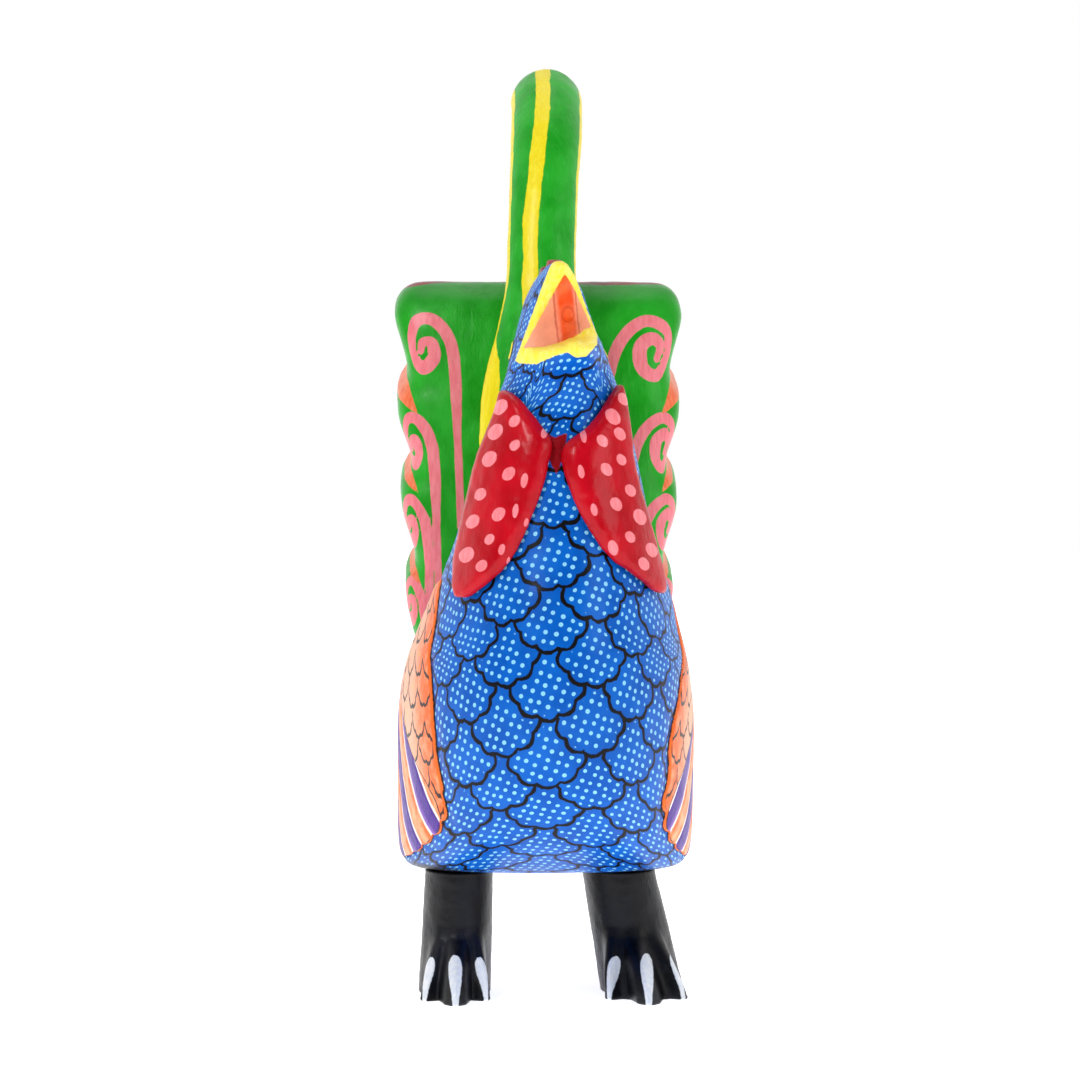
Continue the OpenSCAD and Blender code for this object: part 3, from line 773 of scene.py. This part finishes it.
sickle = dense("sickle_feather", "sickle_feather_painted", 0.65)
relax(sickle, 0.5, 14)
slow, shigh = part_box("sickle_feather")
p = points_of(sickle)
from_peg = np.hypot(p[:, 0], (p[:, 1] - (peg_low.y + peg_high.y) / 2 / MM
                              - 0.14 * (p[:, 2] - (peg_low.z + peg_high.z) / 2 / MM)))
bore = ease((7.0 - from_peg) / 1.0) * (p[:, 2] < peg_high.z / MM + 3)
flat_foot = ease((slow.z / MM + 12 - p[:, 2]) / 3)
hold_to(sickle, "sickle_feather", np.maximum(bore, flat_foot))
p, n = points_of(sickle), normals_of(sickle)
x, up = p[:, 0], p[:, 2]
S_TOP = shigh.z / MM
line_x = np.interp(up, [S_TOP - 70, S_TOP - 50, S_TOP - 30, S_TOP - 14, S_TOP],
                   [-3.6, -3.3, -1.0, 0.9, 1.4])
line_x = np.where(p[:, 1] > slow.y / MM + 55, 1.4, line_x)
tool = 0.10 * lump_noise(p, 18, 21) + 0.05 * lump_noise(p, 5, 22)
left = np.interp(up, [110, 135, 150, 176, 186, 200], [-15.5, -14.0, -12.2, -12.4, -13.4, -14])
band = 2.15 - np.abs(x - line_x)
edge_s = (np.abs(n[:, 0]) - 0.90) * 14
left_s = np.where(up < 192, (left - x), FAR_OUT)
held = np.maximum(bore, flat_foot)
set_points(sickle, p + n * (tool * (1 - held))[:, None])
paint_data(sickle, stripes=np.stack([band, edge_s, left_s], axis=1))


def sickle_paint():
    p = Paint("painted_sickle")
    strokes, lumps, grit = p.brush()
    band, edge, left = p.data3("stripes")
    wander = p.noise(7.0, 2.0) - 0.5
    fine = p.noise(1.5, 2.0) - 0.5
    green = p.mix(lumps.step(0.3, 0.72), "0C9412", "25AA28")
    green = p.mix(strokes.step(0.5, 0.85) * 0.4, green, "49BC4A")
    yellow = p.mix(strokes.step(0.3, 0.85), "EBD500", "F5E52C")
    c = p.mix((band + wander * 1.3 + fine * 0.3).step(-0.12, 0.12), green, yellow)
    c = p.mix((edge + wander * 0.8 + fine * 0.3).step(-0.10, 0.12), c, yellow)
    c = p.mix((left + wander * 1.5 + fine * 0.4).step(-0.10, 0.12), c, yellow)
    rough = 0.33 + (lumps - 0.5) * 0.14 + (grit - 0.5) * 0.1
    relief = strokes * 0.9 + lumps * 1.3 + grit * 0.45 + band.step(-0.1, 0.2) * 0.25
    return p.finish(c, rough, relief, depth=0.17, coat=0.3, coat_rough=0.18, gloss=0.2)


sickle.data.materials.append(sickle_paint())
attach(sickle, "feather")
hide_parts("sickle_feather")


# ---------------------------------------------------------------- comb

comb = dense("comb", "comb_painted", 0.4)
relax(comb, 0.5, 14)
p, n = points_of(comb), normals_of(comb)
set_points(comb, p + n * (0.12 * lump_noise(p, 9, 31) + 0.04 * lump_noise(p, 3, 32))[:, None])


def red_paint(name, base, light, dots):
    p = Paint(name)
    strokes, lumps, grit = p.brush()
    red = p.mix(lumps.step(0.3, 0.72), base, light)
    red = p.mix(strokes.step(0.5, 0.9) * 0.25, red, "CC2030")
    relief = strokes * 0.7 + lumps * 0.7 + grit * 0.2
    if dots:
        spot = p.data("spot")
        fine = p.noise(1.2, 2.0) - 0.5
        on = (spot + fine * 0.3).step(-0.10, 0.12)
        red = p.mix(on, red, p.mix(strokes.step(0.3, 0.8), "F47A82", "FA97A0"))
        relief = relief + on * 0.4
    rough = 0.30 + (lumps - 0.5) * 0.12 + (grit - 0.5) * 0.1
    return p.finish(red, rough, relief, depth=0.15, coat=0.35, coat_rough=0.14, gloss=0.14)


comb.data.materials.append(red_paint("painted_comb", "7E1218", "A01A20", False))
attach(comb, "figure")
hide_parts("comb")


# ---------------------------------------------------------------- wattles

for side in ("left", "right"):
    wattle = dense("wattle_" + side, f"wattle_{side}_painted", 0.45)
    relax(wattle, 0.5, 24)
    p, n = points_of(wattle), normals_of(wattle)
    wlow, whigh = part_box("wattle_" + side)
    wx = (p[:, 0] - wlow.x / MM)
    wz = (p[:, 2] - wlow.z / MM)
    tall = (whigh.z - wlow.z) / MM
    sign = -1 if side == "left" else 1
    # dots in four slanting rows that run down the wattle, a little uneven
    rng = np.random.default_rng(7 if side == "left" else 8)
    spot = np.full(len(p), FAR_OUT)
    placed = []
    for row, count, lift in ((0.17, 6, 0.0), (0.46, 6, 0.5), (0.74, 5, 0.1), (0.93, 4, 0.6)):
        for k in range(count):
            t = (k + 0.35 + lift) / (count + 0.6) + rng.uniform(-0.03, 0.03)
            row += rng.uniform(-0.03, 0.03)
            h = tall * (0.96 - 0.93 * t)
            level = np.abs(wz - h) < 1.5
            if not level.any():
                continue
            a, b = wx[level].min(), wx[level].max()
            cx = (b - row * (b - a)) if sign > 0 else (a + row * (b - a))
            size = rng.uniform(1.25, 2.0) * (0.72 if row > 0.85 else 1.0)
            if any(math.hypot(cx - a, h - b) < size + c + 0.9 for a, b, c in placed):
                continue
            placed.append((cx, h, size))
            squeeze = 1.0 if row < 0.6 else rng.uniform(1.1, 2.2)
            d = np.hypot((wx - cx) * squeeze + 0.25 * sign * (wz - h), (wz - h) * 0.9)
            spot = np.maximum(spot, np.where(n[:, 1] < 0.35, size - d, FAR_OUT))
    tool = 0.14 * lump_noise(p, 12, 41) + 0.05 * lump_noise(p, 4, 42)
    set_points(wattle, p + n * tool[:, None])
    paint_data(wattle, spot=spot)
    wattle.data.materials.append(red_paint("painted_wattle_" + side, "AE0012", "C4041C", True))
    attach(wattle, "figure")
    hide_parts("wattle_" + side)


# ---------------------------------------------------------------- legs

def leg_paint():
    p = Paint("painted_leg")
    strokes, lumps, grit = p.brush()
    claw = p.data("claw")
    fine = p.noise(1.0, 2.0) - 0.5
    # near-black paint; the lighter bluish black that the lumps mix in is a painted bluish sheen
    black = p.mix(lumps.step(0.3, 0.75), "030306", "0A0B18")
    white = p.mix(strokes.step(0.3, 0.8), "E6EEF8", "FFFFFF")
    on = (claw + fine * 0.35).step(-0.12, 0.15)
    c = p.mix(on, black, white)
    rough = 0.42 + (lumps - 0.5) * 0.15 + (grit - 0.5) * 0.14
    relief = strokes * 0.6 + lumps * 0.9 + grit * 1.0 + on * 0.3
    return p.finish(c, rough - 0.06, relief, depth=0.16, coat=0.25, coat_rough=0.3, gloss=0.22)


leg_mat = leg_paint()
SPLAYS = {"left": 22.0, "right": 27.0}
for side in ("left", "right"):
    leg = dense("leg_" + side, f"leg_{side}_painted", 0.5)
    relax(leg, 0.5, 8)
    _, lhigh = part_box("leg_" + side)
    p = points_of(leg)
    hold_to(leg, "leg_" + side, np.maximum(ease((1.2 - p[:, 2]) / 0.6),
                                           ease((p[:, 2] - lhigh.z / MM + 1.2) / 0.6)))
    p, n = points_of(leg), normals_of(leg)
    row = p[:, 2] < 3
    dlow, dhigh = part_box("leg_dowel_" + side)
    axis_y = (dlow.y + dhigh.y) / 2 / MM
    axis_x = (p[row, 0].min() + p[row, 0].max()) / 2
    dx, dy = p[:, 0] - axis_x, p[:, 1] - axis_y
    around = np.degrees(np.arctan2(dx, -dy))
    far = np.hypot(dx, dy)
    claw = np.full(len(p), FAR_OUT)
    for toe, tall in ((0.0, 12.5), (-SPLAYS[side], 11.5), (SPLAYS[side], 11.5), (180.0, 10.0)):
        off = (around - toe + 180) % 360 - 180
        across = np.radians(off) * far
        h = np.clip(p[:, 2] / tall, 0, 1)
        half = (1.0 + 1.05 * ease(h / 0.75)) * np.sqrt(1 - (np.maximum(0, h - 0.72) / 0.28) ** 2)
        half *= 1.0 if toe in (0.0, 180.0) else 0.85
        claw = np.maximum(claw, np.where((np.abs(off) < 20) & (p[:, 2] < tall) & (far > 12),
                                         half - np.abs(across) - 0.15, FAR_OUT))
    tool = 0.12 * lump_noise(p, 10, 51) + 0.05 * lump_noise(p, 3.5, 52)
    free = ease((p[:, 2] - 1.0) / 2) * ease((lhigh.z / MM - 1.0 - p[:, 2]) / 2)
    set_points(leg, p + n * (tool * free)[:, None])
    paint_data(leg, claw=claw)
    leg.data.materials.append(leg_mat)
    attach(leg, "figure")
    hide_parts("leg_" + side)


# ---------------------------------------------------------------- bare wood of pins and dowels

def bare_wood():
    p = Paint("bare_wood")
    grain = p.noise(0.8, 4.0, 0.65, stretch=(1.0, 1.0, 0.12))
    pores = p.noise(0.25, 2.0, 0.7, stretch=(1.0, 1.0, 0.2))
    c = p.mix(grain.step(0.3, 0.72), "DDBE92", "B78C5A")
    c = p.mix(pores.step(0.62, 0.8) * 0.4, c, "8C6336")
    return p.finish(c, 0.62 + (grain - 0.5) * 0.2, grain + pores * 0.5, depth=0.12, coat=0.0)


wood = bare_wood()
for name in ("wattle_pins", "leg_dowel_left", "leg_dowel_right", "tail_dowels", "sickle_peg"):
    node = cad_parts[name]
    node.data.materials.clear()
    node.data.materials.append(wood)


# ---------------------------------------------------------------- studio

low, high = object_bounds()
centre = Vector(((low.x + high.x) / 2, -0.0094, 0))

AZ = math.radians(-2.0)
AWAY, ASIDE, EYE_UP = 0.900, 0.0014, 0.1248
away = Vector((math.sin(AZ), -math.cos(AZ), 0))
right = Vector((math.cos(AZ), math.sin(AZ), 0))
cam_data = bpy.data.cameras.new("camera")
cam_data.sensor_width = 36.0
cam_data.lens = 107.5
cam = bpy.data.objects.new("camera", cam_data)
bpy.context.scene.collection.objects.link(cam)
cam.location = centre + away * AWAY - right * ASIDE + Vector((0, 0, EYE_UP))
cam.rotation_euler = (-away).to_track_quat("-Z", "Y").to_euler()
cam_data.clip_start, cam_data.clip_end = 0.01, 50.0
bpy.context.scene.camera = cam


def floor():
    """A plain pale floor that gives off a little light, wide enough to reach the horizon."""
    me = bpy.data.meshes.new("floor")
    me.from_pydata([(-9, -9, 0), (9, -9, 0), (9, 30, 0), (-9, 30, 0)], [], [(0, 1, 2, 3)])
    obj = bpy.data.objects.new("floor", me)
    bpy.context.scene.collection.objects.link(obj)
    p = Paint("floor")
    tone = p.noise(60.0, 2.0)
    p.finish(p.mix(tone, "F4F4F4", "F8F8F8"), 0.9, tone, depth=0.02, coat=0.0)
    p.skin.inputs["Emission Color"].default_value = (1.0, 1.0, 1.0, 1.0)
    p.skin.inputs["Emission Strength"].default_value = 0.80
    me.materials.append(p.mat)
    obj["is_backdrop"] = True


floor()


def lamp(name, at, size, power, target=(0, 0, 0.13)):
    data = bpy.data.lights.new(name, "AREA")
    data.shape, data.size, data.energy = "DISK", size, power
    obj = bpy.data.objects.new(name, data)
    bpy.context.scene.collection.objects.link(obj)
    obj.location = at
    obj.rotation_euler = (Vector(target) - Vector(at)).to_track_quat("-Z", "Y").to_euler()


lamp("key", (-0.62, -0.85, 0.95), 0.36, 6.4)
lamp("fill", (0.95, -0.70, 0.55), 0.6, 3.0)
lamp("top", (0.0, 0.1, 1.6), 0.9, 4.0)


def surroundings():
    """A bright room behind the object and a darker one behind the camera; seen as plain white."""
    world = bpy.data.worlds.new("studio")
    world.use_nodes = True
    tree = world.node_tree
    back = tree.nodes["Background"]
    coord = tree.nodes.new("ShaderNodeTexCoord")
    axes = tree.nodes.new("ShaderNodeSeparateXYZ")
    fade = tree.nodes.new("ShaderNodeMapRange")
    fade.interpolation_type = "SMOOTHSTEP"
    for socket, value in zip(fade.inputs[1:5], (-0.55, 0.55, 0.12, 1.0)):
        socket.default_value = value
    tree.links.new(coord.outputs["Generated"], axes.inputs[0])
    tree.links.new(axes.outputs[1], fade.inputs[0])
    seen = tree.nodes.new("ShaderNodeLightPath")
    either = tree.nodes.new("ShaderNodeMath")
    either.operation = "MAXIMUM"
    tree.links.new(seen.outputs["Is Camera Ray"], either.inputs[0])
    tree.links.new(fade.outputs[0], either.inputs[1])
    tree.links.new(either.outputs[0], back.inputs[1])
    back.inputs[0].default_value = (1.0, 1.0, 1.0, 1.0)
    bpy.context.scene.world = world


surroundings()
bpy.context.scene.view_settings.view_transform = "Standard"
